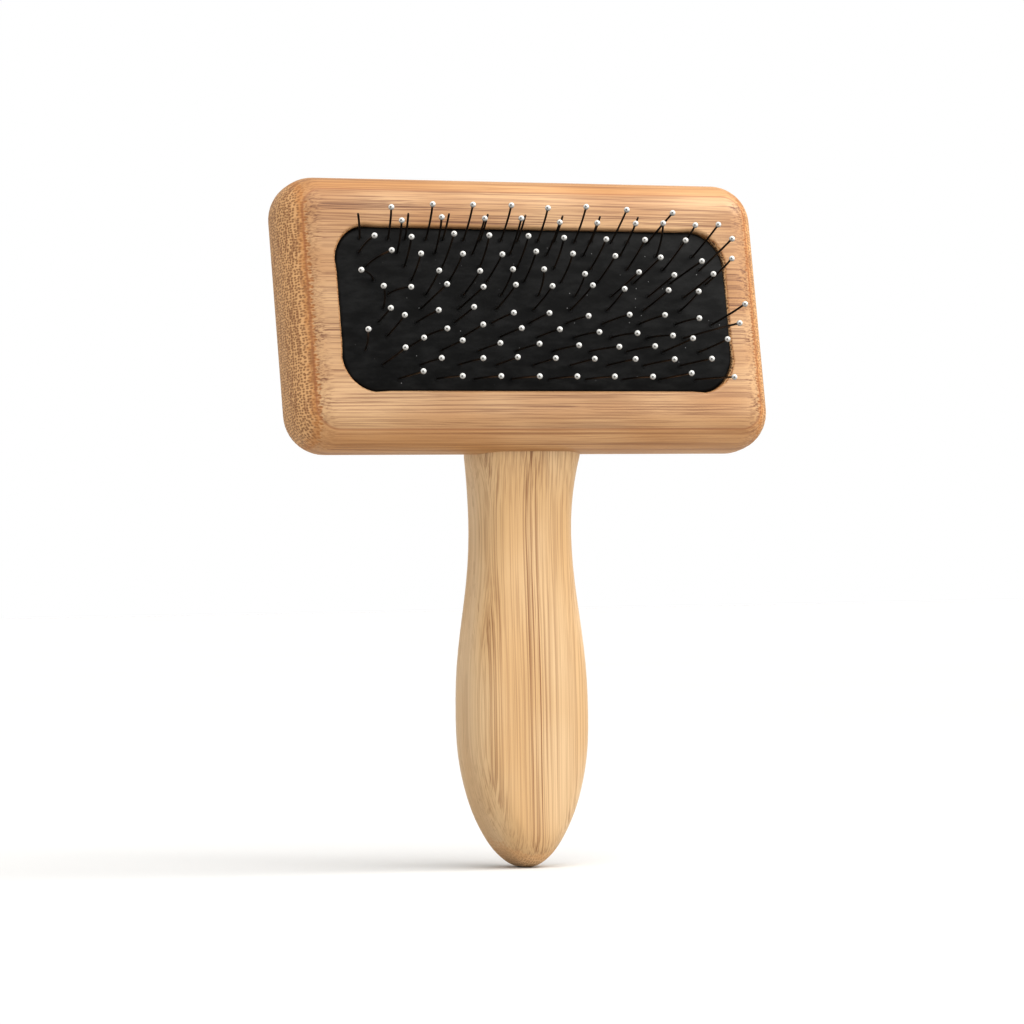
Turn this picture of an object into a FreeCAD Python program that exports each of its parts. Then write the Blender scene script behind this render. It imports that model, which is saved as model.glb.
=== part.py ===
import FreeCAD
import Part
import math
import os

# Slicker brush of bamboo: a block-shaped head with a rubber pin cushion, on a straight handle.
# It stands on the butt of its handle: +Z runs up the handle, +X along the head, and the pins
# point towards -Y. Lengths are in millimetres and angles in degrees.

# Head block
HEAD_LENGTH = 123.0
HEAD_HEIGHT = 65.0
HEAD_THICKNESS = 19.0
HEAD_CORNER_RADIUS = 9.5
HEAD_EDGE_RADIUS = 8.5
HEAD_TILT = 9.0          # the head leans back from the line of the handle
HEAD_FORWARD = 3.2       # middle of the head in front of the handle's line

# Pocket for the cushion, in the front of the head
SIDE_RIM = 11.0
TOP_RIM = 12.75
POCKET_CORNER_RADIUS = 9.0
POCKET_RIM_RADIUS = 0.9

# Cushion: a crowned rubber pad over an air space, with a thin foam liner on the pocket's floor
PAD_RECESS = 1.3
PAD_EDGE_THICKNESS = 1.8
PAD_CROWN = 1.2
PAD_SIDE_FIT = 0.2
PRESS_TRAVEL = 1.5       # how far the cushion gives when it is pressed
LINER_THICKNESS = 2.0
LINER_SIDE_FIT = 0.3
LINER_CLEARANCE = 0.3    # left between the pins' heads and the liner at full travel

# Pins: spring wire with a flat head behind the pad and one gentle bend
PIN_ROWS = 11
COLUMN_PITCH = 9.6
ROW_MARGIN = 3.25        # from the pocket's long edges to the outer rows
COLUMN_MARGIN = 4.5      # from the pocket's short edges to the outermost pins
ROW_SHIFTS = (0.20, 0.40, 0.55, 0.70, 0.05, 0.90, 0.75, 0.95, 0.35, 0.80, 0.20)  # of a pitch
PIN_LENGTH = 15.0        # straight line from the pad to the middle of the ball tip
WIRE_DIAMETER = 0.55
PIN_HEAD_DIAMETER = 1.6
PIN_HEAD_THICKNESS = 0.4
PIN_HEAD_DROP = 0.55     # from the back of the pad to the top of the pin's head
BEND_PLACE = 0.5         # of the pin's length
BEND_RADIUS = 9.0
FOOT_LEAN = 0.6          # the lean of the lower leg, as a share of the whole pin's lean
UP_RAKE = 6.0            # mean lean towards the top of the head
UP_FAN = 15.3            # extra lean of the top row, and less lean of the bottom row
SIDE_RAKE = -6.0         # mean lean towards +X
SIDE_TWIST = -6.3        # extra side lean of the top row, the other way in the bottom row
SIDE_FAN = 16.0          # extra side lean of the outermost pins
SWAY = 8.0               # how far a row of pins sways each way
SWAY_CLEARANCE = 0.08
BALL_DIAMETER = 1.65
BALL_SEAT = 0.2          # how far the wire runs past the middle of the ball

# Bare pins: short wires with no ball, between the pins of the top row
BARE_LENGTH = 11.0
BARE_SHIFT = 0.65        # of a pitch
BARE_COUNT = 8

# Handle
HANDLE_LENGTH = 97.9     # from the butt to the middle of the head's underside
BUTT_DEPTH = 32.0        # height of the rounded butt
BUTT_POINT = 0.65        # form of the butt: 0.5 is an ellipse, and 1 is pointed like a parabola
BUTT_STATIONS = (0.006, 0.03, 0.07, 0.14, 0.28, 0.46, 0.7, 1.0)  # of the butt's height
BELLY_TOP = 40.0
NECK_DROP = 18.9         # from the head's underside down to the narrowest line
NECK_STATIONS = 5
SHOULDER_STATIONS = 4
COPE_REACH = 5.1         # how far the handle runs up round the head
BELLY_WIDTH = 30.6
NECK_WIDTH = 24.0
SHOULDER_WIDTH = 30.6
BELLY_THICKNESS = 19.0
NECK_THICKNESS = 16.0
SHOULDER_THICKNESS = 14.8
NECK_FORWARD = 0.5
SHOULDER_FORWARD = 3.7
HANDLE_EDGE_RADIUS = 6.5

# Dowels that pin the handle to the head
DOWEL_DIAMETER = 6.0
DOWEL_SPACING = 13.0
DOWEL_IN_HANDLE = 16.0
DOWEL_FRONT_WALL = 1.0   # wood left in front of the dowels at the neck
DOWEL_TOP_WALL = 1.75    # wood left between the dowels' sockets and the pocket
DOWEL_FIT = 0.05
DOWEL_END_GAP = 1.0

# Limits of the rounds
FULLEST_ROUND = 0.94     # of the head's half thickness
FULLEST_CORNER = 0.85    # of the handle's half width or half thickness
LIP_ROUND = 0.999        # of the width of the pocket's lip
LEAST_BEND = 0.5         # a pin with a smaller bend is left straight
TINY = 1e-6

# Sizes that follow from the ones above
POCKET_LENGTH = HEAD_LENGTH - 2 * SIDE_RIM
POCKET_HEIGHT = HEAD_HEIGHT - 2 * TOP_RIM
FRONT = HEAD_THICKNESS / 2
HEAD_RISE = HANDLE_LENGTH + HEAD_HEIGHT / 2 * math.cos(math.radians(HEAD_TILT))
HEAD_FOOT = HEAD_FORWARD + HEAD_HEIGHT / 2 * math.sin(math.radians(HEAD_TILT))
NECK_HEIGHT = HANDLE_LENGTH - NECK_DROP
SHOULDER_HEIGHT = HANDLE_LENGTH + COPE_REACH
DOWEL_FORWARD = NECK_FORWARD + NECK_THICKNESS / 2 - DOWEL_DIAMETER / 2 - DOWEL_FRONT_WALL
DOWEL_IN_HEAD = TOP_RIM - DOWEL_TOP_WALL - DOWEL_END_GAP
WIRE_RADIUS = WIRE_DIAMETER / 2
ROW_PITCH = (POCKET_HEIGHT - 2 * ROW_MARGIN) / (PIN_ROWS - 1)
PAD_BACK = FRONT - PAD_RECESS - PAD_EDGE_THICKNESS
PIN_HEAD_TIP = PIN_HEAD_DIAMETER / 2 * math.sin(math.radians(SWAY + UP_RAKE + UP_FAN))
PIN_HEAD_SPACE = PIN_HEAD_DROP + PIN_HEAD_THICKNESS + PIN_HEAD_TIP
AIR_SPACE = PIN_HEAD_SPACE + PRESS_TRAVEL + LINER_CLEARANCE
POCKET_DEPTH = PAD_RECESS + PAD_EDGE_THICKNESS + AIR_SPACE + LINER_THICKNESS


def vector(across, up, out):
    """A point or direction on the upright head: along it, up it, and out of its front."""
    return FreeCAD.Vector(across, -out, up)


def seat_on_handle(shape):
    """Lean a shape on the upright head back, and lift it to its place above the handle."""
    moved = shape.copy()
    moved.rotate(FreeCAD.Vector(0, 0, 0), FreeCAD.Vector(1, 0, 0), -HEAD_TILT)
    moved.translate(FreeCAD.Vector(0, -HEAD_FORWARD, HEAD_RISE))
    return moved


def rounded_plate(length, height, corner_radius, back, front):
    """A plate with rounded corners, between two depths on the upright head."""
    plate = Part.makeBox(length, front - back, height, vector(-length / 2, -height / 2, front))
    upright = [e for e in plate.Edges if abs(abs(e.tangentAt(e.FirstParameter).y) - 1) < TINY]
    return plate.makeFillet(corner_radius, upright)


def make_head_shell():
    """The outer form of the head block, with every edge rounded over."""
    plate = rounded_plate(HEAD_LENGTH, HEAD_HEIGHT, HEAD_CORNER_RADIUS, -FRONT, FRONT)
    rim = [e for e in plate.Edges if abs(abs(e.CenterOfMass.y) - FRONT) < TINY]
    return plate.makeFillet(min(HEAD_EDGE_RADIUS, FULLEST_ROUND * FRONT), rim)


def make_pocket():
    """The hollow for the cushion, whose mouth is eased by a small round."""
    floor = FRONT - POCKET_DEPTH
    hollow = rounded_plate(POCKET_LENGTH, POCKET_HEIGHT, POCKET_CORNER_RADIUS, floor, FRONT)
    mouth_length = POCKET_LENGTH + 2 * POCKET_RIM_RADIUS
    mouth_height = POCKET_HEIGHT + 2 * POCKET_RIM_RADIUS
    mouth_corner = POCKET_CORNER_RADIUS + POCKET_RIM_RADIUS
    lip = FRONT - POCKET_RIM_RADIUS
    mouth = rounded_plate(mouth_length, mouth_height, mouth_corner, lip, FRONT)
    collar = mouth.cut(hollow)
    lips = [e for e in collar.Edges if is_inner_lip(e)]
    return hollow.fuse(collar.cut(collar.makeFillet(POCKET_RIM_RADIUS * LIP_ROUND, lips)))


def is_inner_lip(edge):
    """Whether an edge of the mouth's collar lies on the front face, along the pocket's wall."""
    middle = edge.valueAt((edge.FirstParameter + edge.LastParameter) / 2)
    on_front = abs(middle.y + FRONT) < TINY
    inside_length = abs(middle.x) < POCKET_LENGTH / 2 + TINY
    return on_front and inside_length and abs(middle.z) < POCKET_HEIGHT / 2 + TINY


def make_pad_blank():
    """The rubber pad before its pin holes: flat behind, crowned across its height in front."""
    length = POCKET_LENGTH - 2 * PAD_SIDE_FIT
    height = POCKET_HEIGHT - 2 * PAD_SIDE_FIT
    corner = POCKET_CORNER_RADIUS - PAD_SIDE_FIT
    plate = rounded_plate(length, height, corner, PAD_BACK, FRONT - PAD_RECESS + PAD_CROWN)
    radius = crown_radius()
    start = vector(-length, 0, crown_top() - radius)
    crown = Part.makeCylinder(radius, 2 * length, start, FreeCAD.Vector(1, 0, 0))
    return plate.common(crown)


def crown_radius():
    """Radius of the arc that rises by the crown over half of the pocket's height."""
    half = POCKET_HEIGHT / 2
    return (half ** 2 + PAD_CROWN ** 2) / (2 * PAD_CROWN)


def crown_top():
    """Depth of the pad's highest line."""
    return FRONT - PAD_RECESS + PAD_CROWN


def pad_surface(up):
    """Depth of the pad's front at a height on the head."""
    radius = crown_radius()
    return crown_top() - radius + math.sqrt(radius ** 2 - up ** 2)


def hinge_depth(up):
    """Depth of the line that a row of pins sways about: half way through the pad."""
    return (PAD_BACK + pad_surface(up)) / 2


def row_height(row):
    """Height of a row of pins above the middle of the head, counted from the top row."""
    return ((PIN_ROWS - 1) / 2 - row) * ROW_PITCH


def column_places(shift):
    """Places along the head of the pins of a row with this shift."""
    reach = POCKET_LENGTH / 2 - COLUMN_MARGIN
    most = math.ceil(reach / COLUMN_PITCH) + 1
    places = [(column + shift) * COLUMN_PITCH for column in range(-most, most + 1)]
    return [place for place in places if abs(place) <= reach]


def lean_direction(across, up, share):
    """Unit direction of a pin that stands here, or of a leg that has a share of its lean."""
    row_share = up / row_height(0)
    edge_share = across / (POCKET_LENGTH / 2 - COLUMN_MARGIN)
    side = SIDE_RAKE + SIDE_TWIST * row_share + SIDE_FAN * edge_share ** 3
    rise = UP_RAKE + UP_FAN * row_share
    side_slope = math.tan(math.radians(side * share))
    rise_slope = math.tan(math.radians(rise * share))
    return vector(side_slope, rise_slope, 1.0).normalize()


def pin_points(across, up, length):
    """Head, bend and tip of a pin's middle line, and the directions of its two legs."""
    root = vector(across, up, pad_surface(up))
    foot = lean_direction(across, up, FOOT_LEAN)
    depth = pad_surface(up) - PAD_BACK + PIN_HEAD_DROP
    head = root - foot * (depth / abs(foot.y))
    bend = root + foot * (length * BEND_PLACE)
    tip = root + lean_direction(across, up, 1.0) * length
    return head, bend, tip, foot, (tip - bend).normalize()


def make_wire(head, bend, end, foot, leg):
    """A round wire along two straight legs with a tangent arc at the bend."""
    turn = foot.getAngle(leg)
    if turn < math.radians(LEAST_BEND):
        return Part.makeCylinder(WIRE_RADIUS, (end - head).Length, head, end - head)
    reach = BEND_RADIUS * math.tan(turn / 2)
    arc_start = bend - foot * reach
    arc_end = bend + leg * reach
    inward = (leg - foot).normalize()
    arc_middle = bend + inward * (BEND_RADIUS / math.cos(turn / 2) - BEND_RADIUS)
    lower = Part.LineSegment(head, arc_start).toShape()
    curve = Part.Arc(arc_start, arc_middle, arc_end).toShape()
    upper = Part.LineSegment(arc_end, end).toShape()
    section = Part.Wire([Part.makeCircle(WIRE_RADIUS, head, foot)])
    return Part.Wire([lower, curve, upper]).makePipeShell([section], True, False)


def make_pin(across, up, length, end_past_tip):
    """One pin on the upright head: its wire and the flat head behind the pad."""
    head, bend, tip, foot, leg = pin_points(across, up, length)
    wire = make_wire(head, bend, tip + leg * end_past_tip, foot, leg)
    button = Part.makeCylinder(PIN_HEAD_DIAMETER / 2, PIN_HEAD_THICKNESS, head, foot * -1)
    return wire.fuse(button)


def make_pin_hole(across, up):
    """The hole in the pad that lets one pin sway about the middle of the pad."""
    reach = pad_surface(up) - hinge_depth(up)
    radius = WIRE_RADIUS + reach * math.tan(math.radians(SWAY)) + SWAY_CLEARANCE
    head, bend, tip, foot, leg = pin_points(across, up, PIN_LENGTH)
    return Part.makeCylinder(radius, (bend - head).Length, head, foot)


def make_ball(across, up, pin):
    """The ball tip moulded on the end of one pin."""
    tip = pin_points(across, up, PIN_LENGTH)[2]
    return Part.makeSphere(BALL_DIAMETER / 2, tip).cut(pin)


def ease(share):
    """A smooth step from 1 down to 0."""
    return (1 + math.cos(math.pi * share)) / 2


def handle_outline(height):
    """Half width, half thickness and forward shift of the handle at a height."""
    if height < BUTT_DEPTH:
        width = BELLY_WIDTH / 2 * (1 - (1 - height / BUTT_DEPTH) ** 2) ** BUTT_POINT
    elif height <= BELLY_TOP:
        width = BELLY_WIDTH / 2
    elif height <= NECK_HEIGHT:
        left = ease((height - BELLY_TOP) / (NECK_HEIGHT - BELLY_TOP))
        width = (NECK_WIDTH + (BELLY_WIDTH - NECK_WIDTH) * left) / 2
    else:
        flare = ((height - NECK_HEIGHT) / (SHOULDER_HEIGHT - NECK_HEIGHT)) ** 2
        width = (NECK_WIDTH + (SHOULDER_WIDTH - NECK_WIDTH) * flare) / 2
    thickness = BELLY_THICKNESS / 2
    forward = 0.0
    if height < HANDLE_EDGE_RADIUS:
        lost = HANDLE_EDGE_RADIUS - height
        thickness -= HANDLE_EDGE_RADIUS - math.sqrt(HANDLE_EDGE_RADIUS ** 2 - lost ** 2)
    elif BELLY_TOP < height <= NECK_HEIGHT:
        left = ease((height - BELLY_TOP) / (NECK_HEIGHT - BELLY_TOP))
        thickness = (NECK_THICKNESS + (BELLY_THICKNESS - NECK_THICKNESS) * left) / 2
        forward = NECK_FORWARD * (1 - left)
    elif height > NECK_HEIGHT:
        flare = ((height - NECK_HEIGHT) / (SHOULDER_HEIGHT - NECK_HEIGHT)) ** 2
        thickness = (NECK_THICKNESS + (SHOULDER_THICKNESS - NECK_THICKNESS) * flare) / 2
        forward = NECK_FORWARD + (SHOULDER_FORWARD - NECK_FORWARD) * flare
    return width, thickness, forward


def handle_section(height):
    """The closed outline of the handle at a height: a rectangle with round corners."""
    width, thickness, forward = handle_outline(height)
    radius = min(HANDLE_EDGE_RADIUS, FULLEST_CORNER * width, FULLEST_CORNER * thickness)
    corners = []
    for side_x, side_y in ((1, 1), (-1, 1), (-1, -1), (1, -1)):
        out_x = side_x * (width - radius)
        out_y = side_y * (thickness - radius) - forward
        corners.append((FreeCAD.Vector(out_x, out_y, height), side_x, side_y))
    edges = []
    for index, (centre, side_x, side_y) in enumerate(corners):
        along_x = FreeCAD.Vector(side_x * radius, 0, 0)
        along_y = FreeCAD.Vector(0, side_y * radius, 0)
        slant = (along_x + along_y) * math.sqrt(0.5)
        start, finish = (along_x, along_y) if side_x == side_y else (along_y, along_x)
        arc = Part.Arc(centre + start, centre + slant, centre + finish).toShape()
        following, next_x, next_y = corners[(index + 1) % 4]
        next_start = FreeCAD.Vector(next_x * radius, 0, 0)
        if next_x != next_y:
            next_start = FreeCAD.Vector(0, next_y * radius, 0)
        edges.append(arc)
        edges.append(Part.LineSegment(centre + finish, following + next_start).toShape())
    return Part.Wire(edges)


def make_handle(head_shell, dowels):
    """The handle, coped to the underside of the head and bored for the dowels."""
    heights = [BUTT_DEPTH * share for share in BUTT_STATIONS]
    heights += stations(BELLY_TOP, NECK_HEIGHT, NECK_STATIONS)
    heights += stations(NECK_HEIGHT, SHOULDER_HEIGHT, SHOULDER_STATIONS)[1:]
    loft = Part.makeLoft([handle_section(height) for height in heights], True, False)
    return loft.cut([head_shell] + dowels)


def stations(low, high, steps):
    """Even heights from one to another, both included."""
    return [low + (high - low) * step / steps for step in range(steps + 1)]


def make_dowel(side, fit, end_gap):
    """A dowel, or with a fit the socket for it, through the joint of head and handle."""
    joint = underside_height(DOWEL_FORWARD)
    low = joint - DOWEL_IN_HANDLE - end_gap
    length = DOWEL_IN_HANDLE + DOWEL_IN_HEAD + 2 * end_gap
    place = FreeCAD.Vector(side * DOWEL_SPACING / 2, -DOWEL_FORWARD, low)
    return Part.makeCylinder(DOWEL_DIAMETER / 2 + fit, length, place)


def underside_height(forward):
    """Height of the head's underside, where it is flat, at a distance forward."""
    return HANDLE_LENGTH + (forward - HEAD_FOOT) * math.tan(math.radians(HEAD_TILT))


def build_pieces():
    """Every piece of the brush by name, with the handle's butt at the origin."""
    pieces = {}
    shell = make_head_shell()
    seated_shell = seat_on_handle(shell)
    sockets = [make_dowel(side, DOWEL_FIT, DOWEL_END_GAP) for side in (-1, 1)]
    block = seat_on_handle(shell.cut(make_pocket()))
    pieces["head_block"] = block.cut(sockets)
    pieces["handle"] = make_handle(seated_shell, sockets)
    pieces["dowel_left"] = make_dowel(-1, 0.0, 0.0)
    pieces["dowel_right"] = make_dowel(1, 0.0, 0.0)

    floor = FRONT - POCKET_DEPTH
    liner_length = POCKET_LENGTH - 2 * LINER_SIDE_FIT
    liner_height = POCKET_HEIGHT - 2 * LINER_SIDE_FIT
    liner_corner = POCKET_CORNER_RADIUS - LINER_SIDE_FIT
    liner_top = floor + LINER_THICKNESS
    liner = rounded_plate(liner_length, liner_height, liner_corner, floor, liner_top)
    pieces["foam_liner"] = seat_on_handle(liner)

    holes = []
    for row in range(PIN_ROWS):
        up = row_height(row)
        pins = []
        balls = []
        for across in column_places(ROW_SHIFTS[row]):
            pin = make_pin(across, up, PIN_LENGTH, BALL_SEAT)
            pins.append(pin)
            balls.append(make_ball(across, up, pin))
            holes.append(make_pin_hole(across, up))
        pieces["pin_row_%02d" % (row + 1)] = seat_on_handle(Part.makeCompound(pins))
        pieces["ball_tips_%02d" % (row + 1)] = seat_on_handle(Part.makeCompound(balls))

    bare = []
    top = row_height(0)
    for across in column_places(BARE_SHIFT)[:BARE_COUNT]:
        bare.append(make_pin(across, top, BARE_LENGTH, 0.0))
        holes.append(make_pin_hole(across, top))
    pieces["bare_pins"] = seat_on_handle(Part.makeCompound(bare))
    pieces["rubber_pad"] = seat_on_handle(make_pad_blank().cut(holes))
    return pieces


def centre_over_origin(pieces):
    """Move the brush so that the origin is the middle of the bottom of its box."""
    box = Part.makeCompound(list(pieces.values())).optimalBoundingBox(False, False)
    shift = FreeCAD.Vector(-box.Center.x, -box.Center.y, -box.ZMin)
    for shape in pieces.values():
        shape.translate(shift)
    return shift


brush = build_pieces()
origin_shift = centre_over_origin(brush)
os.makedirs("parts", exist_ok=True)
for name, shape in brush.items():
    shape.exportStep("parts/%s.step" % name)
print("moved by", origin_shift)
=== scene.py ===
import bmesh
import bpy
import math
from mathutils import Matrix, Vector


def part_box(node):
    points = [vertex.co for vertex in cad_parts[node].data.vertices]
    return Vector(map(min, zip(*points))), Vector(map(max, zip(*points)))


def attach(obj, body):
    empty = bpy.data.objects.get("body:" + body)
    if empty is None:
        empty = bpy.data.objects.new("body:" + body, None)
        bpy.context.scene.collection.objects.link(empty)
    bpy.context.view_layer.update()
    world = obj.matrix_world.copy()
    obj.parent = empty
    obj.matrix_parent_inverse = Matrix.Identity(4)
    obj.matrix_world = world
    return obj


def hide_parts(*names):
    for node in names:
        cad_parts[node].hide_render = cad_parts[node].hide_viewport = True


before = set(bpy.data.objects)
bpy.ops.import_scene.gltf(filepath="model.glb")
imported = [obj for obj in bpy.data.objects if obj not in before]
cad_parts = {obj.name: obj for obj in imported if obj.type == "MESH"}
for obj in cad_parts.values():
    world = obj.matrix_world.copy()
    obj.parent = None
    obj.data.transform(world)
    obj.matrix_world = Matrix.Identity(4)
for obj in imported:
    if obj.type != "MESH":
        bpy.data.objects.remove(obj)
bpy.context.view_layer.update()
MM = 0.001

# --- Camera ------------------------------------------------------------------------------------
# A long lens, low down and to the left of the brush, looking a little up at the head.

CAMERA_TURN = math.radians(-24.92)
CAMERA_RISE = math.radians(-0.945)
CAMERA_ROLL = math.radians(-0.965)
CAMERA_AWAY = 1.1453
CAMERA_LENS = 170.06
LOOK_AT = Vector((-0.0017, 0.0100, 0.0840))

back = Vector((
    math.sin(CAMERA_TURN) * math.cos(CAMERA_RISE),
    -math.cos(CAMERA_TURN) * math.cos(CAMERA_RISE),
    math.sin(CAMERA_RISE),
))
level_right = Vector((math.cos(CAMERA_TURN), math.sin(CAMERA_TURN), 0))
level_up = back.cross(level_right)
right = level_right * math.cos(CAMERA_ROLL) + level_up * math.sin(CAMERA_ROLL)
up = level_up * math.cos(CAMERA_ROLL) - level_right * math.sin(CAMERA_ROLL)
aim = Matrix((right, up, back)).transposed().to_4x4()

bpy.ops.object.select_all(action="DESELECT")
bpy.ops.object.camera_add()
camera = bpy.context.object
camera.name = "camera"
camera.matrix_world = Matrix.Translation(LOOK_AT + back * CAMERA_AWAY) @ aim
camera.data.lens = CAMERA_LENS
camera.data.clip_start = 0.01
camera.data.clip_end = 100
bpy.context.scene.camera = camera


# --- Floor and light ---------------------------------------------------------------------------
# A wide white floor that runs out of sight, white all round, broad soft light from high and
# from low in front, and a small soft lamp near the head's upper right corner.

class Number:
    """A number in a material's nodes, so that shader maths reads as plain arithmetic."""

    def __init__(self, finish, socket):
        self.finish = finish
        self.socket = socket

    def maths(self, operation, *others):
        return self.finish.maths(operation, self, *others)

    def __add__(self, other):
        return self.maths("ADD", other)

    def __sub__(self, other):
        return self.maths("SUBTRACT", other)

    def __rsub__(self, other):
        return self.finish.maths("SUBTRACT", other, self)

    def __mul__(self, other):
        return self.maths("MULTIPLY", other)

    __radd__ = __add__
    __rmul__ = __mul__


class Finish:
    """A material whose nodes are added one at a time."""

    def __init__(self, name, **settings):
        self.material = bpy.data.materials.new(name)
        self.material.use_nodes = True
        self.tree = self.material.node_tree
        self.shader = self.tree.nodes["Principled BSDF"]
        for socket, value in settings.items():
            self.feed(self.shader.inputs[socket], value)

    def feed(self, socket, value):
        if isinstance(value, Number):
            self.tree.links.new(value.socket, socket)
        elif socket.type == "RGBA" and len(value) == 3:
            socket.default_value = (*value, 1)
        else:
            socket.default_value = value

    def node(self, kind, settings=None, sockets=None, result=0):
        """Adds a node with its settings, feeds its sockets, and gives one of its results."""
        node = self.tree.nodes.new("ShaderNode" + kind)
        for setting, value in (settings or {}).items():
            setattr(node, setting, value)
        for socket, value in (sockets or {}).items():
            self.feed(node.inputs[socket], value)
        return Number(self, node.outputs[result])

    def maths(self, operation, *values):
        return self.node("Math", {"operation": operation}, dict(enumerate(values)))

    def step(self, value, low, high):
        """0 below the low end and 1 above the high end, with a smooth change between."""
        ends = {"Value": value, "From Min": low, "From Max": high}
        return self.node("MapRange", {"interpolation_type": "SMOOTHSTEP"}, ends)

    def mix(self, share, first, second):
        """A colour between two colours."""
        sockets = {"Factor": share, 6: first, 7: second}
        return self.node("Mix", {"data_type": "RGBA"}, sockets, 2)

    def noise(self, place, scale, detail=2.0, roughness=0.5):
        sockets = {"Vector": place, "Scale": scale, "Detail": detail, "Roughness": roughness}
        return self.node("TexNoise", None, sockets)

    def stretch(self, place, x, y, z):
        return self.node("VectorMath", {"operation": "MULTIPLY"}, {0: place, 1: (x, y, z)})

    def bump(self, height, strength, distance):
        sockets = {"Height": height, "Strength": strength, "Distance": distance}
        self.feed(self.shader.inputs["Normal"], self.node("Bump", None, sockets))


def paint(red, green, blue):
    """A colour given as on a screen, from 0 to 255, as the light that it throws back."""
    return tuple(((part / 255 + 0.055) / 1.055) ** 2.4 for part in (red, green, blue))


bpy.context.scene.view_settings.view_transform = "Standard"
bpy.context.scene.view_settings.gamma = 0.8
world = bpy.data.worlds.new("studio")
bpy.context.scene.world = world
world.use_nodes = True
world.node_tree.nodes["Background"].inputs["Color"].default_value = (1, 1, 1, 1)
world.node_tree.nodes["Background"].inputs["Strength"].default_value = 1.0

FLOOR_SIZE = 30
floor_finish = Finish("studio_floor", Roughness=1.0)
floor_place = floor_finish.node("TexCoord", result="Object")
floor_tone = floor_finish.noise(floor_place, 3.0)
floor_shade = floor_finish.mix(floor_tone, (0.628, 0.628, 0.624), (0.645, 0.645, 0.641))
floor_finish.feed(floor_finish.shader.inputs["Base Color"], floor_shade)
bpy.ops.mesh.primitive_plane_add(size=FLOOR_SIZE)
studio_floor = bpy.context.object
studio_floor.name = "studio_floor"
studio_floor.data.materials.append(floor_finish.material)


def face_brush(lamp, name, toward, colour):
    """Names and tints a new lamp, and turns it to shine on the brush from this side."""
    lamp.name = name
    lamp.rotation_euler = toward.to_track_quat("Z", "Y").to_euler()
    lamp.data.color = colour


def lamp_side(turn, rise):
    """The way out from the brush, this far round to the right of its front and this high."""
    turn, rise = math.radians(turn), math.radians(rise)
    return Vector((math.sin(turn) * math.cos(rise), -math.cos(turn) * math.cos(rise), math.sin(rise)))


DAYLIGHT = (1.0, 0.985, 0.96)
KEY_LIGHT = (1.0, 0.98, 0.95)
KEY_AIM = Vector((0.05, 0, 0.135))
KEY_AWAY = 0.27

sky_side = lamp_side(8, 58)
bpy.ops.object.light_add(type="SUN", location=LOOK_AT + sky_side)
sky_lamp = bpy.context.object
sky_lamp.data.energy = 2.0
sky_lamp.data.angle = math.radians(60)
face_brush(sky_lamp, "sky_lamp", sky_side, DAYLIGHT)

front_side = lamp_side(28, 15)
bpy.ops.object.light_add(type="SUN", location=LOOK_AT + front_side)
front_lamp = bpy.context.object
front_lamp.data.energy = 0.5
front_lamp.data.angle = math.radians(24)
face_brush(front_lamp, "front_lamp", front_side, DAYLIGHT)

key_side = lamp_side(62, 38)
bpy.ops.object.light_add(type="AREA", location=KEY_AIM + key_side * KEY_AWAY)
key_lamp = bpy.context.object
key_lamp.data.energy = 0.46
key_lamp.data.size = 0.16
key_lamp.visible_camera = False
face_brush(key_lamp, "key_lamp", key_side, KEY_LIGHT)


# --- Head block --------------------------------------------------------------------------------
# A block of laminated bamboo, with a thin pale board glued on the front. It is cut to length,
# its pocket is routed out, and every edge is rounded over by hand on a belt and then oiled.

HEAD_SIZE = Vector((123.0, 19.0, 65.0)) * MM
HEAD_TILT = math.radians(9.0)
HEAD_CORNER = 9.5 * MM
HEAD_ROUND = 8.5 * MM
FRONT = HEAD_SIZE.y / 2
POCKET_SIZE = Vector((101.0, 8.24, 39.5)) * MM
POCKET_CORNER = 9.0 * MM
LIP_ROUND = 0.9 * MM
FRONT_BOARD = 1.25 * MM
TINY = 1e-6

head_low, head_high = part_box("head_block")
head_centre = (head_low + head_high) / 2
seat = Matrix.Translation(head_centre) @ Matrix.Rotation(-HEAD_TILT, 4, "X")


def deselect():
    bpy.ops.object.select_all(action="DESELECT")


def choose(piece, kind, wanted):
    """Selects those vertices, edges or faces of a piece in edit mode that answer the question."""
    bpy.ops.mesh.select_mode(type=kind)
    bpy.ops.mesh.select_all(action="DESELECT")
    shape = bmesh.from_edit_mesh(piece.data)
    parts = {"VERT": shape.verts, "EDGE": shape.edges, "FACE": shape.faces}[kind]
    for part in parts:
        if wanted(part):
            part.select = True
    shape.select_flush_mode()
    bmesh.update_edit_mesh(piece.data)


def rounded_slab(name, length, height, corner, back, front, segments=10):
    """A slab with four rounded corners, facing -Y, between two distances out of the head."""
    deselect()
    place = (0, -(back + front) / 2, 0)
    bpy.ops.mesh.primitive_cube_add(size=1, location=place, scale=(length, front - back, height))
    slab = bpy.context.object
    slab.name = name
    bpy.ops.object.transform_apply(location=True, rotation=True, scale=True)
    bpy.ops.object.mode_set(mode="EDIT")
    choose(slab, "EDGE", lambda e: abs((e.verts[0].co - e.verts[1].co).y) > (front - back) / 2)
    bpy.ops.mesh.bevel(offset=corner, segments=segments, profile=0.5, clamp_overlap=False)
    bpy.ops.object.mode_set(mode="OBJECT")
    return slab


def round_rim(slab, out, radius, segments):
    """Rounds over the rim of a slab's face that lies this far out of the head."""
    bpy.ops.object.mode_set(mode="EDIT")
    choose(slab, "EDGE", lambda e: all(abs(v.co.y + out) < TINY for v in e.verts))
    bpy.ops.mesh.bevel(offset=radius, segments=segments, profile=0.5, clamp_overlap=False)
    bpy.ops.object.mode_set(mode="OBJECT")


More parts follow.
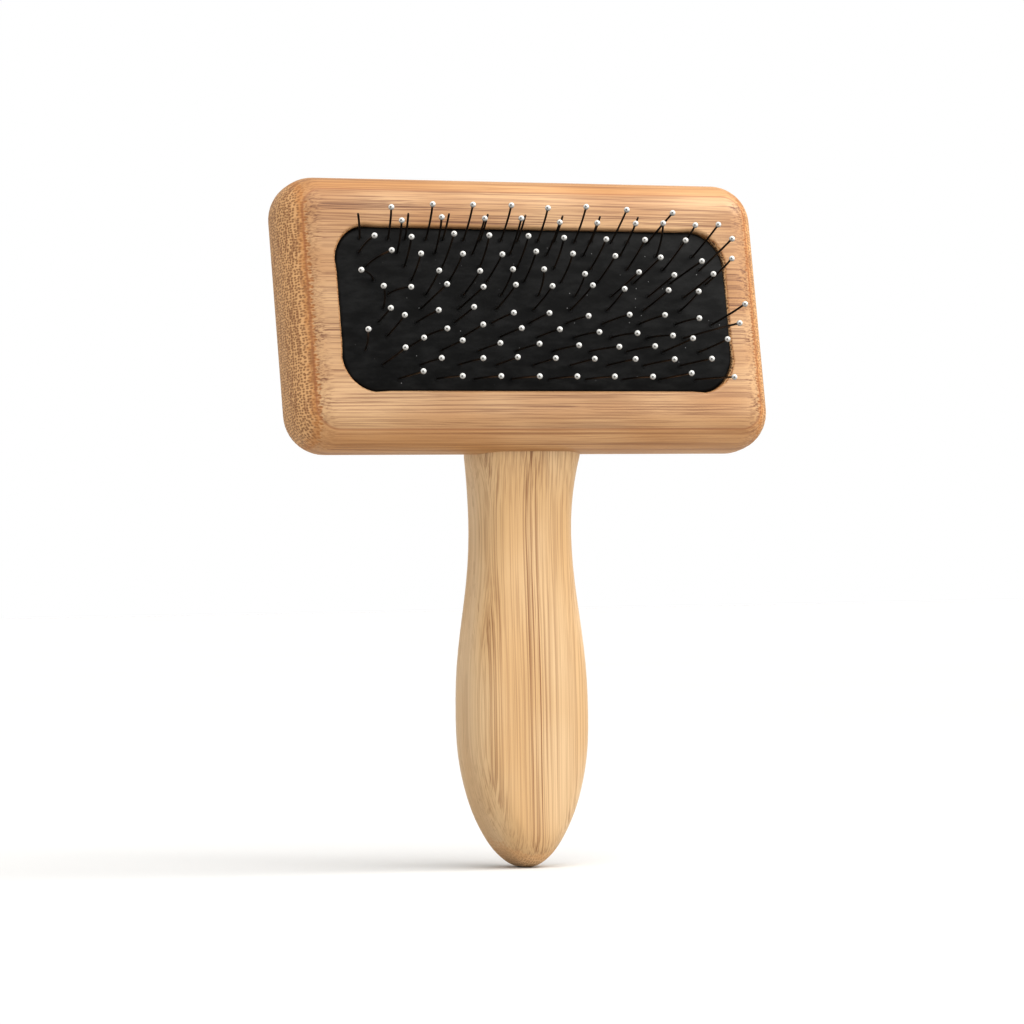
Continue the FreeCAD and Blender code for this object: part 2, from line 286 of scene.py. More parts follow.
def apply_modifiers(piece):
    """Turns what a piece's modifiers do into its own mesh."""
    deselect()
    bpy.context.view_layer.objects.active = piece
    piece.select_set(True)
    for modifier in list(piece.modifiers):
        bpy.ops.object.modifier_apply(modifier=modifier.name)


def cut_with(piece, cutter):
    """Cuts one solid out of another, and does away with the cutter."""
    cut = piece.modifiers.new("cut", "BOOLEAN")
    cut.operation = "DIFFERENCE"
    cut.solver = "EXACT"
    cut.object = cutter
    apply_modifiers(piece)
    bpy.data.objects.remove(cutter)


def smooth(piece, degrees=35):
    """Shades a piece smooth, but for edges sharper than this."""
    deselect()
    bpy.context.view_layer.objects.active = piece
    piece.select_set(True)
    bpy.ops.object.shade_smooth_by_angle(angle=math.radians(degrees))


def dress(piece, finish, slot, body, *nodes):
    """Gives a piece its finish, the body that it rides on and the nodes it stands for. The slot is not
    used.
    """
    if not piece.data.materials:
        piece.data.materials.append(None)
    piece.data.materials[0] = finish.material
    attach(piece, body)
    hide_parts(*nodes)


def bamboo(
    name, grain_axis, flank_axis, centre, turn, end_from, along, deep, vein_size,
    pale, tan, line, end_pale, end_dark, rim
):
    """Bamboo with its fibres along X of the turned place: long streaks on the sides, and dots
    where the fibres end. The ends face along grain_axis, and the plainer sides along flank_axis.
    The dots start where a face has turned as far to the ends as end_from. The streaks are as fine
    as along and deep say, along the grain and into the wood, and vein_size is the broader veins'
    size in millimetres. Returns the finish, the place and the wood's colour."""
    finish = Finish(name)
    coords = finish.node("TexCoord", result="Object")
    lay = {"Vector": coords, "Location": centre, "Rotation": turn, "Scale": (MM, MM, MM)}
    place = finish.node("Mapping", {"vector_type": "TEXTURE"}, lay)
    normal = finish.node("TexCoord", result="Normal")
    facing = finish.node("SeparateXYZ", None, {0: normal}, grain_axis).maths("ABSOLUTE")
    flank = finish.node("SeparateXYZ", None, {0: normal}, flank_axis).maths("ABSOLUTE")
    flank = finish.step(flank, 0.55, 0.85)

    # the fibres wander a little sideways on their way along the wood
    wander = finish.noise(finish.stretch(place, 0.014, 0.12, 0.12), 1.0)
    drift = finish.node("CombineXYZ", None, {1: wander * 1.6, 2: wander * -1.1})
    wavy = finish.node("VectorMath", {"operation": "ADD"}, {0: place, 1: drift})

    # the bundles of fibres, cut across, are dots in a loose pattern
    depth = finish.node("SeparateXYZ", None, {0: wavy}, "Y")
    height = finish.node("SeparateXYZ", None, {0: wavy}, "Z")
    section = finish.node("CombineXYZ", None, {0: depth, 1: height})
    cells = {"Vector": section, "Scale": 1.6, "Randomness": 0.62}
    bundle = finish.node("TexVoronoi", {"voronoi_dimensions": "2D"}, cells, "Distance")
    dot = 1 - finish.step(bundle, 0.18, 0.54)

    # seen along the grain they are fine streaks, with broader veins, in groups, on patches of tone
    front_fibre = finish.noise(finish.stretch(wavy, along, 3.0 * deep, 3.0), 1.0, 3.0, 0.62)
    flank_fibre = finish.noise(finish.stretch(wavy, along, 3.0, 3.0 * deep), 1.0, 3.0, 0.62)
    fibre = front_fibre + (flank_fibre - front_fibre) * flank
    vein_place = finish.stretch(wavy, along * 0.4, deep / vein_size, 1 / vein_size)
    vein = finish.noise(vein_place, 1.0, 2.0, 0.6)
    broad = finish.noise(finish.stretch(wavy, along * 0.15, 0.2 * deep, 0.2), 1.0, 1.0)
    cloud = finish.noise(finish.stretch(place, 0.03, 0.09, 0.09), 1.0, 1.0)

    # the end grain begins along a ragged border
    ragged = finish.noise(finish.stretch(place, 0.30, 1.3, 1.3), 1.0, 2.0)
    turned = facing + (ragged - 0.5) * 0.30 + (dot - 0.5) * 0.05
    end = finish.step(turned, end_from, end_from + 0.12)

    # the sides and the ends each get their own colours
    grouped = finish.step(broad, 0.36, 0.64)
    streaks = finish.step(fibre, 0.45, 0.62) * (0.36 + grouped * 0.34)
    streaks = streaks + finish.step(vein, 0.56, 0.64) * (0.14 + grouped * 0.34)
    streaks = streaks * (1 - flank * 0.55)
    side = finish.mix(finish.step(cloud, 0.3, 0.7), pale, tan)
    side = finish.mix(streaks + dot * 0.06, side, line)
    ends = finish.mix(dot * 0.85 + finish.step(fibre, 0.40, 0.7) * 0.15, end_pale, end_dark)

    # an ochre band lies where the ends begin
    edge = finish.step(turned, end_from, end_from + 0.10)
    edge = edge * (1 - finish.step(turned, end_from + 0.12, end_from + 0.34))
    ends = finish.mix(edge * 0.7, ends, rim)
    wood = finish.mix(end, side, ends)
    finish.feed(finish.shader.inputs["Base Color"], wood)
    finish.feed(finish.shader.inputs["Roughness"], 0.44 + fibre * 0.14 + end * 0.12)
    finish.shader.inputs["Specular IOR Level"].default_value = 0.7
    finish.bump(fibre * 0.5 - dot * (0.15 + end * 0.7), 0.35, 0.00010)
    return finish, place, wood


head = rounded_slab("head_wood", HEAD_SIZE.x, HEAD_SIZE.z, HEAD_CORNER, -FRONT, FRONT, 12)
round_rim(head, FRONT, HEAD_ROUND, 12)
round_rim(head, -FRONT, HEAD_ROUND, 12)
head_form = head.copy()
head_form.data = head.data.copy()
head_form.name = "head_form"
bpy.context.collection.objects.link(head_form)

LIP_STEPS = 6
head_corner_at = (HEAD_SIZE.x / 2 - HEAD_CORNER, HEAD_SIZE.z / 2 - HEAD_CORNER)
pocket_corner_at = (POCKET_SIZE.x / 2 - POCKET_CORNER, POCKET_SIZE.z / 2 - POCKET_CORNER)


def pocket_ring(corner_at, spread, out):
    """Extrudes the selected front face, whose corners turn about this point, and lays its rim
    along the pocket, this much wider and this far out."""
    bpy.ops.mesh.extrude_region_move()
    shape = bmesh.from_edit_mesh(head.data)
    radius = POCKET_CORNER + spread
    for v in [v for v in shape.verts if v.select]:
        side, rise = math.copysign(1, v.co.x), math.copysign(1, v.co.z)
        around = math.atan2(abs(v.co.z) - corner_at[1], abs(v.co.x) - corner_at[0])
        v.co.x = side * (pocket_corner_at[0] + radius * math.cos(around))
        v.co.z = rise * (pocket_corner_at[1] + radius * math.sin(around))
        v.co.y = -out
    bmesh.update_edit_mesh(head.data)


deselect()
bpy.context.view_layer.objects.active = head
head.select_set(True)
bpy.ops.object.mode_set(mode="EDIT")
choose(head, "FACE", lambda f: f.normal.y < -0.999 and len(f.verts) > 8)
corner_at = head_corner_at
for step in range(LIP_STEPS + 1):
    quarter = math.radians(90 * step / LIP_STEPS)
    wider, deeper = LIP_ROUND * (1 - math.sin(quarter)), LIP_ROUND * (1 - math.cos(quarter))
    pocket_ring(corner_at, wider, FRONT - deeper)
    corner_at = pocket_corner_at
pocket_ring(corner_at, 0, FRONT - POCKET_SIZE.y)
bpy.ops.mesh.select_all(action="SELECT")
bpy.ops.mesh.normals_make_consistent(inside=False)
bpy.ops.object.mode_set(mode="OBJECT")
for piece in (head, head_form):
    piece.data.transform(seat)
smooth(head)

head_bamboo, head_place, head_wood = bamboo(
    "bamboo_of_the_head", grain_axis="X", flank_axis="X", centre=head_centre,
    turn=(-HEAD_TILT, 0, 0), end_from=0.38, along=0.030, deep=1.0, vein_size=0.75,
    pale=paint(188, 154, 115), tan=paint(168, 126, 82), line=paint(108, 65, 32),
    end_pale=paint(204, 166, 122), end_dark=paint(84, 50, 24), rim=paint(158, 100, 38),
)
# behind the front board the wood is browner, with thin dark lamellae, and a glue line parts them
BOARD_BACK = (FRONT - FRONT_BOARD) / MM
depth = head_bamboo.node("SeparateXYZ", None, {0: head_place}, "Y")
board_line = (depth + BOARD_BACK).maths("ABSOLUTE")
under_board = head_bamboo.step(depth, -BOARD_BACK - 0.1, -BOARD_BACK + 0.1)
head_wood = head_bamboo.mix(under_board * 0.3, head_wood, paint(196, 144, 84))
lamellae = head_bamboo.noise(head_bamboo.stretch(head_place, 0.006, 1.3, 0.25), 1.0, 2.0, 0.6)
lamellae = head_bamboo.step(lamellae, 0.50, 0.66) * under_board
head_wood = head_bamboo.mix(lamellae * 0.5, head_wood, paint(124, 78, 38))
glue = (1 - head_bamboo.step(board_line, 0.03, 0.24)) * 0.5
head_wood = head_bamboo.mix(glue, head_wood, paint(140, 88, 48))
head_bamboo.feed(head_bamboo.shader.inputs["Base Color"], head_wood)


# --- Handle ------------------------------------------------------------------------------------
# Bamboo with its grain along its length, shaped on a sander: a rounded flat front and back, soft
# corners, a narrow neck and a rounded butt. Its top is coped to the underside of the head.

HANDLE_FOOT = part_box("handle")[0].z
HANDLE_LINE = 10.0108 * MM  # how far the handle's own line stands behind the middle of the brush
HANDLE_CORNER = 6.5 * MM
FULLEST_CORNER = 0.85  # the most of a half width or half thickness that a corner takes
CORNER_STEPS = 8
SIDE_STEPS = 3
# height, half width, half thickness and forward shift, in millimetres
HANDLE_LINES = (
    (0.0, 0.75, 2.4, 0.0), (0.4, 1.75, 4.3, 0.0), (1.0, 2.72, 5.6, 0.0), (2.2, 4.1, 7.3, 0.0),
    (4.0, 5.9, 8.75, 0.0), (6.5, 8.0, 9.45, 0.0), (9.5, 9.75, 9.5, 0.0), (13.0, 11.45, 9.5, 0.0),
    (17.0, 12.85, 9.5, 0.0), (22.0, 14.15, 9.5, 0.0), (27.0, 14.95, 9.5, 0.0),
    (32.0, 15.3, 9.5, 0.0), (40.0, 15.3, 9.5, 0.0), (47.8, 14.99, 9.36, 0.05),
    (55.6, 14.16, 8.98, 0.17), (63.4, 13.14, 8.52, 0.33), (71.2, 12.31, 8.14, 0.45),
    (79.0, 12.0, 8.0, 0.5), (85.0, 12.21, 7.96, 0.7), (91.0, 12.83, 7.85, 1.3),
    (97.0, 13.86, 7.66, 2.3), (103.0, 15.3, 7.4, 3.7),
)


def outline(half_width, half_thickness, forward, height):
    """Points round the handle at a height: a rectangle with rounded corners."""
    corner = min(HANDLE_CORNER / MM, FULLEST_CORNER * half_width, FULLEST_CORNER * half_thickness)
    points = []
    for quarter in range(4):
        side_x, side_y = ((1, 1), (-1, 1), (-1, -1), (1, -1))[quarter]
        core = Vector((side_x * (half_width - corner), side_y * (half_thickness - corner), 0))
        turns = [quarter * 90 + 90 * step / CORNER_STEPS for step in range(CORNER_STEPS + 1)]
        arc = [core + corner * Vector((math.cos(t), math.sin(t), 0)) for t in map(math.radians, turns)]
        points += arc
        next_x, next_y = ((-1, 1), (-1, -1), (1, -1), (1, 1))[quarter]
        ahead = Vector((next_x * (half_width - corner), next_y * (half_thickness - corner), 0))
        along = math.radians(quarter * 90 + 90)
        ahead += corner * Vector((math.cos(along), math.sin(along), 0))
        points += [arc[-1].lerp(ahead, step / SIDE_STEPS) for step in range(1, SIDE_STEPS)]
    lift = Vector((0, HANDLE_LINE / MM - forward, HANDLE_FOOT / MM + height))
    return [(point + lift) * MM for point in points]


deselect()
ring_size = len(outline(*HANDLE_LINES[0][1:], HANDLE_LINES[0][0]))
bpy.ops.mesh.primitive_circle_add(vertices=ring_size, radius=MM, fill_type="NGON")
handle = bpy.context.object
handle.name = "handle_wood"
bpy.ops.object.mode_set(mode="EDIT")
for number, (height, half_width, half_thickness, forward) in enumerate(HANDLE_LINES):
    if number:
        bpy.ops.mesh.extrude_region_move(TRANSFORM_OT_translate={"value": (0, 0, MM)})
    shape = bmesh.from_edit_mesh(handle.data)
    ring = [v for v in shape.verts if v.select]
    if number == 0:
        order = sorted(ring, key=lambda v: math.atan2(v.co.y, v.co.x) % (2 * math.pi))
    else:
        order = []
        for v in last:
            above = [e.other_vert(v) for e in v.link_edges if e.other_vert(v).select]
            order.append(above[0])
    for v, point in zip(order, outline(half_width, half_thickness, forward, height)):
        v.co = point
    shape.verts.index_update()
    last = order
    bmesh.update_edit_mesh(handle.data)
bpy.ops.mesh.select_all(action="SELECT")
bpy.ops.mesh.normals_make_consistent(inside=False)
bpy.ops.object.mode_set(mode="OBJECT")

rounding = handle.modifiers.new("rounding", "SUBSURF")
rounding.levels = 1
rounding.render_levels = 1
apply_modifiers(handle)
cut_with(handle, head_form)
smooth(handle, 40)

handle_bamboo = bamboo(
    "bamboo_of_the_handle", grain_axis="Z", flank_axis="X", centre=(0, HANDLE_LINE, 0),
    turn=(0, -math.pi / 2, 0), end_from=0.52, along=0.009, deep=0.2, vein_size=0.5,
    pale=paint(204, 176, 138), tan=paint(194, 161, 117), line=paint(138, 98, 58),
    end_pale=paint(220, 188, 146), end_dark=paint(172, 132, 92), rim=paint(194, 154, 108),
)[0]


# --- Dowels ------------------------------------------------------------------------------------
# Two plain birch dowels, glued into the head and the handle. They are hidden in the wood.

SOCKET_GAP = 0.05 * MM

dowel_birch = Finish("dowel_birch", Roughness=0.6)
dowel_place = dowel_birch.stretch(dowel_birch.node("TexCoord", result="Object"), 900, 900, 60)
dowel_grain = dowel_birch.noise(dowel_place, 1.0, 3.0)
dowel_birch.feed(
    dowel_birch.shader.inputs["Base Color"],
    dowel_birch.mix(dowel_grain, paint(226, 204, 168), paint(196, 166, 124)),
)
dowel_birch.bump(dowel_grain, 0.3, 0.0001)
for side in ("left", "right"):
    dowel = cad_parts["dowel_" + side]
    dowel.data.materials.clear()
    dowel.data.materials.append(dowel_birch.material)

    low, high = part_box("dowel_" + side)
    for piece in (head, handle):
        deselect()
        bpy.ops.mesh.primitive_cylinder_add(
            vertices=32, radius=(high.x - low.x) / 2 + SOCKET_GAP,
            depth=high.z - low.z + 2 * SOCKET_GAP, location=(low + high) / 2,
        )
        cut_with(piece, bpy.context.object)
for piece in (head, handle):
    smooth(piece)

dress(head, head_bamboo, "bamboo_head", "head_and_handle", "head_block")
dress(handle, handle_bamboo, "bamboo_handle", "head_and_handle", "handle")


# --- Foam liner --------------------------------------------------------------------------------
# A thin sheet of grey foam, die-cut to the pocket and glued to its floor behind the cushion.

LINER_THICK = 2.0 * MM
LINER_GAP = 0.3 * MM
LINER_ROUND = 0.3 * MM
POCKET_FLOOR = FRONT - POCKET_SIZE.y

liner_low, liner_high = POCKET_FLOOR, POCKET_FLOOR + LINER_THICK
liner = rounded_slab(
    "foam_liner_sheet", POCKET_SIZE.x - 2 * LINER_GAP, POCKET_SIZE.z - 2 * LINER_GAP,
    POCKET_CORNER - LINER_GAP, liner_low, liner_high,
)
round_rim(liner, liner_high, LINER_ROUND, 2)
liner.data.transform(seat)
smooth(liner)
liner_foam = Finish("grey_foam", Roughness=0.95)
cells = {"Vector": liner_foam.node("TexCoord", result="Object"), "Scale": 2200.0}
cell = liner_foam.node("TexVoronoi", {"feature": "F1"}, cells, "Distance")
liner_foam.feed(
    liner_foam.shader.inputs["Base Color"], liner_foam.mix(cell, (0.09, 0.09, 0.09), (0.2, 0.2, 0.2))
)
liner_foam.bump(cell, 0.6, 0.0002)
dress(liner, liner_foam, "liner_foam", "head_and_handle", "foam_liner")


# --- Pins: where each one stands ---------------------------------------------------------------
# The foot, the bend and the tip of every wire are read from the frame, in the head's own lie.
# Wires are spring steel, pushed through the cushion from behind, in eleven staggered rows.

ROWS = 11
TIP_SPAN = 0.25 * MM     # the end of a wire that its tip is taken from
FOOT_SPAN = 0.9 * MM     # the same for its foot
BEND_FROM, BEND_TO = 0.25, 0.7  # the part of a wire that holds its bend, from the tip
FIRST_STUB_SHIFT = -1.8 * MM
# how far the tips of some pins stand out of line after use: row, pin, across and up, in mm
STRAYS = {
    1: {1: (0.4, -0.7), 5: (-0.3, -0.5), 7: (0.6, -0.6), 8: (2.2, -1.2), 9: (-3.3, -4.2)},
    2: {1: (4.6, -3.4), 3: (-0.6, 0.8), 4: (0.2, 0.6), 5: (-0.2, 0.8), 9: (-3.4, 0.1)},
    3: {1: (6.4, -3.0), 3: (0.2, 0.8), 4: (-1.0, 0.5), 5: (-0.7, 0.5), 6: (-1.2, 0.2), 10: (1.0, 0.6)},
    4: {1: (-4.0, -3.9), 5: (-1.0, 0.8), 6: (-1.2, 0.4), 8: (1.7, -0.2), 9: (1.7, -1.0), 10: (-1.9, -0.2)},
    5: {1: (3.8, -3.9), 4: (-1.5, 0.5), 5: (-3.2, 0.6), 6: (-2.4, -0.4), 7: (1.9, 0.2), 8: (0.7, -0.4)},
    6: {1: (-1.8, 0.4), 2: (3.0, 0.9), 3: (1.7, 0.3), 4: (0.0, 0.9), 5: (-0.3, 0.7), 6: (0.5, 1.0),
        7: (-1.2, 0.2), 9: (-3.1, -0.2)},
    7: {1: (1.0, -0.7), 2: (1.6, -1.2), 3: (0.0, -0.4), 4: (0.0, -1.7), 5: (-0.6, -1.7), 6: (-0.2, -2.3),
        7: (0.7, -1.9), 8: (-0.3, -1.9), 9: (-2.2, -2.6), 10: (-1.2, 1.1)},
    8: {1: (1.7, 1.8), 2: (0.9, -1.4), 3: (-0.4, -0.4), 4: (-0.6, -1.2), 5: (-0.5, -1.4), 6: (0.0, -2.0),
        7: (0.0, -2.2), 8: (-1.1, -2.7), 9: (6.0, 0.5)},
    9: {1: (-0.8, 2.6), 2: (1.2, 0.6), 4: (-0.7, -0.6), 5: (-0.5, -0.7), 6: (0.0, -1.0), 7: (0.7, -1.3),
        8: (0.0, -1.1), 9: (-0.4, 0.9), 10: (-2.5, 0.8)},
    10: {1: (2.5, 2.5), 4: (-1.2, 0.3), 5: (-1.2, 0.1), 6: (-0.8, 0.0), 9: (-1.0, 0.2)},
    11: {1: (1.7, 1.1), 2: (0.5, 0.0), 8: (-0.2, 0.9)},
}


def wire_lines(node):
    """The back end, the bend and the front end of each wire of a node."""
    shape = bmesh.new()
    shape.from_mesh(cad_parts[node].data)
    shape.transform(seat.inverted())
    bmesh.ops.remove_doubles(shape, verts=shape.verts, dist=TINY)
    left = set(shape.verts)
    lines = []
    while left:
        found = [left.pop()]
        for vertex in found:
            for edge in vertex.link_edges:
                other = edge.other_vert(vertex)
                if other in left:
                    left.remove(other)
                    found.append(other)
        points = sorted((v.co.copy() for v in found), key=lambda p: p.y)
        front = average([p for p in points if p.y < points[0].y + TIP_SPAN])
        rear = average([p for p in points if p.y > points[-1].y - FOOT_SPAN])
        span = rear.y - front.y
        midway = [p for p in points if BEND_FROM < (p.y - front.y) / span < BEND_TO]
        bend = average(midway or [(front + rear) / 2])
        lines.append((rear, bend, front))
    shape.free()
    return sorted(lines, key=lambda line: line[0].x)


def average(points):
    """The middle of some points."""
    return sum(points, Vector()) / len(points)


row_lines = [wire_lines("pin_row_%02d" % (row + 1)) for row in range(ROWS)]
bare_lines = wire_lines("bare_pins")
for point in bare_lines[0]:
    point.x += FIRST_STUB_SHIFT
for row, strays in STRAYS.items():
    for pin, (across, lift) in strays.items():
        rear, bend, front = row_lines[row - 1][pin - 1]
        front.x += across * MM
        front.z += lift * MM


# --- Rubber cushion ----------------------------------------------------------------------------
# A moulded pad of black rubber, a little crowned, with its edge rolled down into the pocket.
# Each wire comes through a small moulded eyelet.

PAD_GAP = 0.2 * MM
PAD_BACK = 6.4 * MM
PAD_EDGE = 8.2 * MM
PAD_CROWN = 1.2 * MM
PAD_ROLL = 0.7 * MM
CROWN_RADIUS = ((POCKET_SIZE.z / 2) ** 2 + PAD_CROWN ** 2) / (2 * PAD_CROWN)


def pad_front(rise):
    """How far out of the head the pad's front lies, at a height on the head."""
    return PAD_EDGE + PAD_CROWN - CROWN_RADIUS + math.sqrt(CROWN_RADIUS ** 2 - rise ** 2)


pad = rounded_slab(
    "rubber_cushion", POCKET_SIZE.x - 2 * PAD_GAP, POCKET_SIZE.z - 2 * PAD_GAP,
    POCKET_CORNER - PAD_GAP, PAD_BACK, PAD_EDGE,
)
round_rim(pad, PAD_EDGE, PAD_ROLL, 4)
bpy.ops.object.mode_set(mode="EDIT")
for cut in range(-18, 19, 2):  # lines along the pad, in millimetres, for the crown to bend at
    bpy.ops.mesh.select_all(action="SELECT")
    bpy.ops.mesh.bisect(plane_co=(0, 0, cut * MM), plane_no=(0, 0, 1))
bpy.ops.object.mode_set(mode="OBJECT")
for v in pad.data.vertices:
    if -v.co.y > PAD_EDGE - PAD_ROLL - TINY:
        v.co.y -= pad_front(v.co.z) - PAD_EDGE

# each ring's radius and height on the pad, in millimetres, from the outside into the hole
EYELET_RINGS = ((0.80, -0.12), (0.72, 0.03), (0.63, 0.08), (0.54, 0.04), (0.49, -0.35))
deselect()
bpy.ops.mesh.primitive_circle_add(vertices=12, radius=EYELET_RINGS[0][0] * MM)
eyelet = bpy.context.object
bpy.ops.object.mode_set(mode="EDIT")
for (radius, height), (wider, lower) in zip(EYELET_RINGS[1:], EYELET_RINGS):
    bpy.ops.mesh.extrude_region_move(TRANSFORM_OT_translate={"value": (0, 0, (height - lower) * MM)})
    bpy.ops.transform.resize(value=(radius / wider, radius / wider, 1))
bpy.ops.mesh.select_all(action="SELECT")
bpy.ops.mesh.normals_make_consistent(inside=False)
bpy.ops.object.mode_set(mode="OBJECT")
eyelet.data.transform(Matrix.Translation((0, 0, EYELET_RINGS[0][1] * MM)))


def place_copies(master, name, places):
    """One piece made of a copy of the master at each place."""
    deselect()
    for place in places:
        copy = master.copy()
        copy.data = master.data.copy()
        bpy.context.collection.objects.link(copy)
        copy.data.transform(place)
        copy.select_set(True)
        bpy.context.view_layer.objects.active = copy
    bpy.ops.object.join()
    bpy.context.object.name = name
    bpy.data.objects.remove(master)
    return bpy.context.object


def join(*pieces):
    """Makes one piece of several."""
    deselect()
    for piece in pieces:
        piece.select_set(True)
    bpy.context.view_layer.objects.active = pieces[0]
    bpy.ops.object.join()
    return pieces[0]


def on_pad(line):
    """Where a wire comes out of the pad."""
    rear, bend, front = line
    place = rear
    for _ in range(3):
        share = (-pad_front(place.z) - rear.y) / (bend.y - rear.y)
        place = rear.lerp(bend, share)
    return place


roots = [on_pad(line) for lines in row_lines + [bare_lines] for line in lines]
lying_out = Matrix.Rotation(math.pi / 2, 4, "X")
eyelets = place_copies(eyelet, "eyelets", [Matrix.Translation(root) @ lying_out for root in roots])
pad = join(pad, eyelets)
pad.data.transform(seat)
smooth(pad, 50)

# black, with faint smears, and pale specks in patches, partly dust and partly painted glints
rubber = Finish("black_rubber", Roughness=0.5)
rubber.shader.inputs["Specular IOR Level"].default_value = 0.12
rubber_place = rubber.node("TexCoord", result="Object")
mottle = rubber.noise(rubber_place, 260.0, 4.0, 0.6)
grain = rubber.noise(rubber_place, 2600.0, 2.0)
speck = rubber.node(
    "TexVoronoi", {"feature": "F1"}, {"Vector": rubber_place, "Scale": 420.0}, "Distance"
)
# pale specks, partly dust and partly painted glints of light
dust_and_painted_glints = (1 - rubber.step(speck, 0.02, 0.075)) * rubber.step(mottle, 0.44, 0.52)
smear = rubber.noise(rubber.stretch(rubber_place, 160, 300, 420), 1.0, 4.0, 0.6)
black = rubber.mix(rubber.step(smear, 0.35, 0.75), (0.003, 0.003, 0.003), (0.015, 0.015, 0.015))
rubber.feed(rubber.shader.inputs["Base Color"], rubber.mix(dust_and_painted_glints * 0.55, black, (0.5, 0.5, 0.5)))
rubber.feed(rubber.shader.inputs["Roughness"], 0.38 + mottle * 0.12 + smear * 0.14)
rubber.bump(grain * 0.6 + mottle * 0.8 + smear * 0.5, 0.3, 0.0001)
dress(pad, rubber, "black_rubber", "cushion", "rubber_pad")


# --- Pins --------------------------------------------------------------------------------------
# Bronze-coloured spring wire, cut to length, headed behind the pad, and bent once. A little
# flare of the same dark resin that primes the wire runs up into each ball tip.

WIRE = 0.24 * MM
BOW = 0.6  # how far a wire's own bend is eased towards a plain arc
FLARE_LENGTH = 1.3 * MM
FLARE_WIDTH = 1.9
HEAD_DISC = 0.8 * MM
DISC_THICK = 0.4 * MM


def bend_wires(name, lines, flared):
    """One piece of all the wires of a row, each a round wire along its own bent line."""
    deselect()
    bpy.ops.curve.primitive_bezier_curve_add()
    wires = bpy.context.object
    wires.name = name
    wires.data.splines.clear()
    for line in lines:
        rear, bend, front = line
        root = on_pad(line)
        bow = bend.lerp(root.lerp(front, 0.5), BOW)
        leg = (front - bow).normalized()
        # each knot's place, the handles before and after it, and the wire's width there
        points = [
            (rear, rear, rear.lerp(root, 0.5), 1.0),
            (root, rear.lerp(root, 0.6), root.lerp(bow, 0.6), 1.0),
        ]
        if flared:
            neck = front - leg * FLARE_LENGTH
            points.append((neck, bow.lerp(neck, 0.4), neck + leg * FLARE_LENGTH * 0.3, 1.0))
            points.append((front, front - leg * FLARE_LENGTH * 0.4, front + leg * MM, FLARE_WIDTH))
        else:
            points.append((front, bow.lerp(front, 0.5), front + leg * MM, 1.0))
        spline = wires.data.splines.new("BEZIER")
        spline.bezier_points.add(len(points) - 1)
        for knot, (place, before, after, width) in zip(spline.bezier_points, points):
            knot.handle_left_type = knot.handle_right_type = "FREE"
            knot.co, knot.handle_left, knot.handle_right = place, before, after
            knot.radius = width
    wires.data.bevel_depth = WIRE
    wires.data.bevel_resolution = 1
    wires.data.resolution_u = 7
    wires.data.use_fill_caps = True
    bpy.ops.object.convert(target="MESH")
    wires = bpy.context.object
    bpy.ops.mesh.primitive_cylinder_add(vertices=12, radius=HEAD_DISC, depth=DISC_THICK)
    disc = bpy.context.object
    places = []
    for rear, bend, front in lines:
        turn = (bend - rear).to_track_quat("Z", "X").to_matrix().to_4x4()
        places.append(Matrix.Translation(rear) @ turn)
    wires = join(wires, place_copies(disc, "discs", places))
    wires.data.transform(seat)
    smooth(wires, 50)
    return wires


spring_wire = Finish("bronzed_wire", Metallic=0.75)
wire_place = spring_wire.node("TexCoord", result="Object")
drawn = spring_wire.noise(spring_wire.stretch(wire_place, 900, 300, 900), 1.0, 3.0)
tarnish = spring_wire.step(spring_wire.noise(wire_place, 180.0), 0.35, 0.65)
bronze = spring_wire.mix(tarnish, (0.022, 0.015, 0.011), (0.070, 0.045, 0.029))
spring_wire.feed(spring_wire.shader.inputs["Base Color"], bronze)
spring_wire.feed(spring_wire.shader.inputs["Roughness"], 0.28 + drawn * 0.2)
spring_wire.bump(drawn, 0.15, 0.00003)

for row, lines in enumerate(row_lines):
    body = "row_%02d" % (row + 1)
    wires = bend_wires("wires_" + body, lines, True)
    dress(wires, spring_wire, "pin_wire", body, "pin_row_%02d" % (row + 1))

stubs = bend_wires("bare_wires", bare_lines, False)
dress(stubs, spring_wire, "pin_wire", "row_01", "bare_pins")


# --- Ball tips ---------------------------------------------------------------------------------
# Drops of white epoxy, cured on the ends of the wires, with painted shade on their
# downward-facing sides. Each has a small grey dimple on its front.

BALL = 0.70 * MM
BALL_BACK = 0.2 * MM
DIMPLE_SIDE = Vector((-0.9, -1.0, -0.35))
DIMPLE_LEAN = 0.4  # how much the wire's own direction turns the dimple
DIMPLE_DEPTH = 0.10 * MM

deselect()
bpy.ops.mesh.primitive_uv_sphere_add(segments=16, ring_count=10, radius=BALL)
ball = bpy.context.object
bpy.ops.object.mode_set(mode="EDIT")
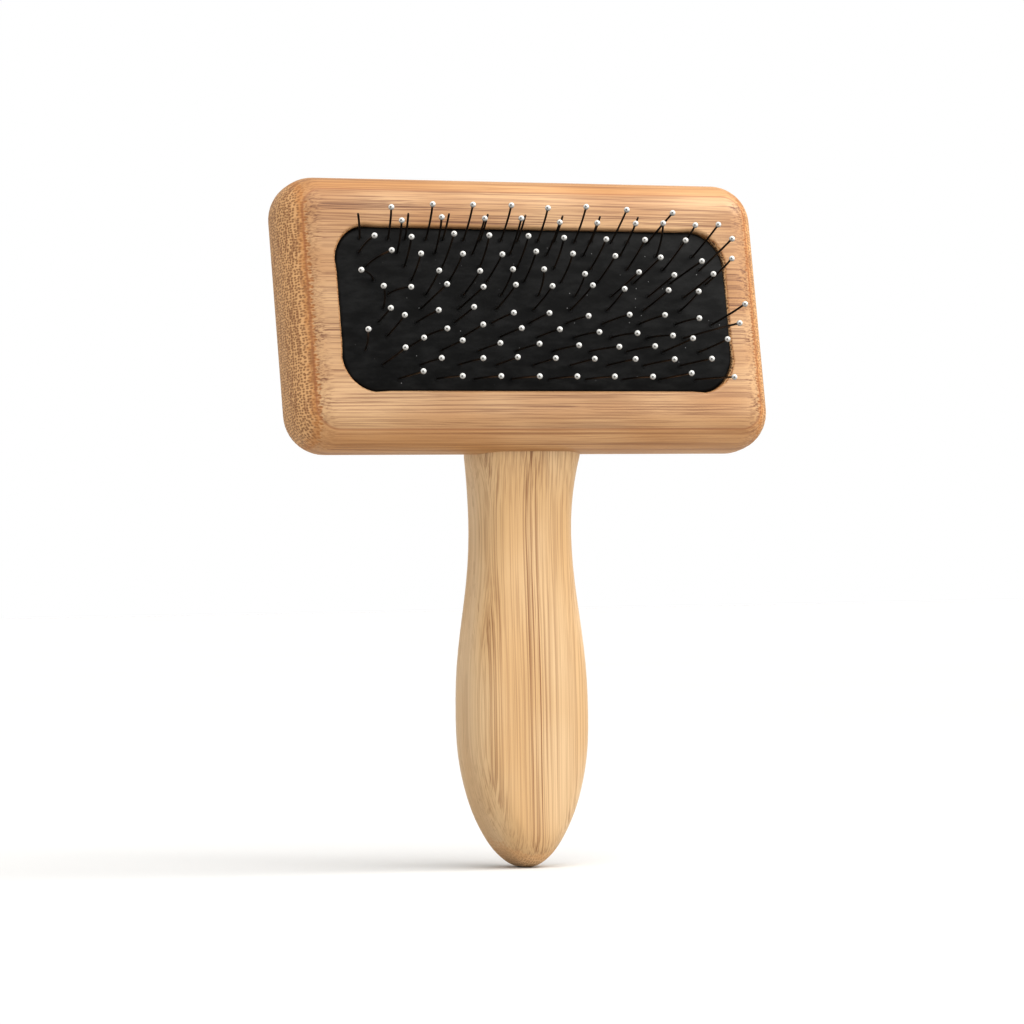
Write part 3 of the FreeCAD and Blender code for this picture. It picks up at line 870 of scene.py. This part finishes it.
# the ring round the ball's top is spread, and its top sunk, for the dimple
choose(ball, "VERT", lambda v: 0.9 * BALL < v.co.z < 0.99 * BALL)
bpy.ops.transform.resize(value=(1.12, 1.12, 1), center_override=(0, 0, 0))
choose(ball, "VERT", lambda v: v.co.z > BALL * 0.999)
bpy.ops.transform.translate(value=(0, 0, -DIMPLE_DEPTH))
bpy.ops.object.mode_set(mode="OBJECT")
smooth(ball, 60)

epoxy = Finish("white_epoxy", Roughness=0.22)
epoxy_place = epoxy.node("TexCoord", result="Object")
cloud = epoxy.noise(epoxy_place, 900.0, 2.0)
epoxy_white = epoxy.mix(cloud, paint(220, 220, 217), paint(192, 191, 188))
# painted shade: the side of each ball that faces down is painted darker grey
painted_shade_below = epoxy.node("SeparateXYZ", None, {0: epoxy.node("TexCoord", result="Normal")}, "Z")
painted_shade_below = 1 - epoxy.step(painted_shade_below, -0.9, 0.25)
epoxy_and_painted_shade = epoxy.mix(painted_shade_below * 0.75, epoxy_white, paint(112, 108, 103))
epoxy.feed(epoxy.shader.inputs["Base Color"], epoxy_and_painted_shade)
epoxy.feed(epoxy.shader.inputs["Roughness"], 0.18 + cloud * 0.15)
epoxy.bump(cloud, 0.2, 0.00005)

dimple_grey = Finish("dimple_grey", Roughness=0.5)
spot = dimple_grey.noise(dimple_grey.node("TexCoord", result="Object"), 2400.0)
dimple_grey.feed(
    dimple_grey.shader.inputs["Base Color"],
    dimple_grey.mix(spot, paint(92, 90, 87), paint(132, 130, 126)),
)

ball.data.materials.append(epoxy.material)
ball.data.materials.append(dimple_grey.material)
for face in ball.data.polygons:
    if face.center.z > BALL * 0.7 and len(face.vertices) == 3:
        face.material_index = 1

for row, lines in enumerate(row_lines):
    body = "row_%02d" % (row + 1)
    places = []
    for rear, bend, front in lines:
        leg = (front - bend).normalized()
        turn = (DIMPLE_SIDE + leg * DIMPLE_LEAN).to_track_quat("Z", "X").to_matrix().to_4x4()
        places.append(Matrix.Translation(front - leg * BALL_BACK) @ turn)
    master = ball.copy()
    master.data = ball.data.copy()
    bpy.context.collection.objects.link(master)
    tips = place_copies(master, "tips_" + body, places)
    tips.data.transform(seat)
    dress(tips, epoxy, "ball_plastic", body, "ball_tips_%02d" % (row + 1))
bpy.data.objects.remove(ball)
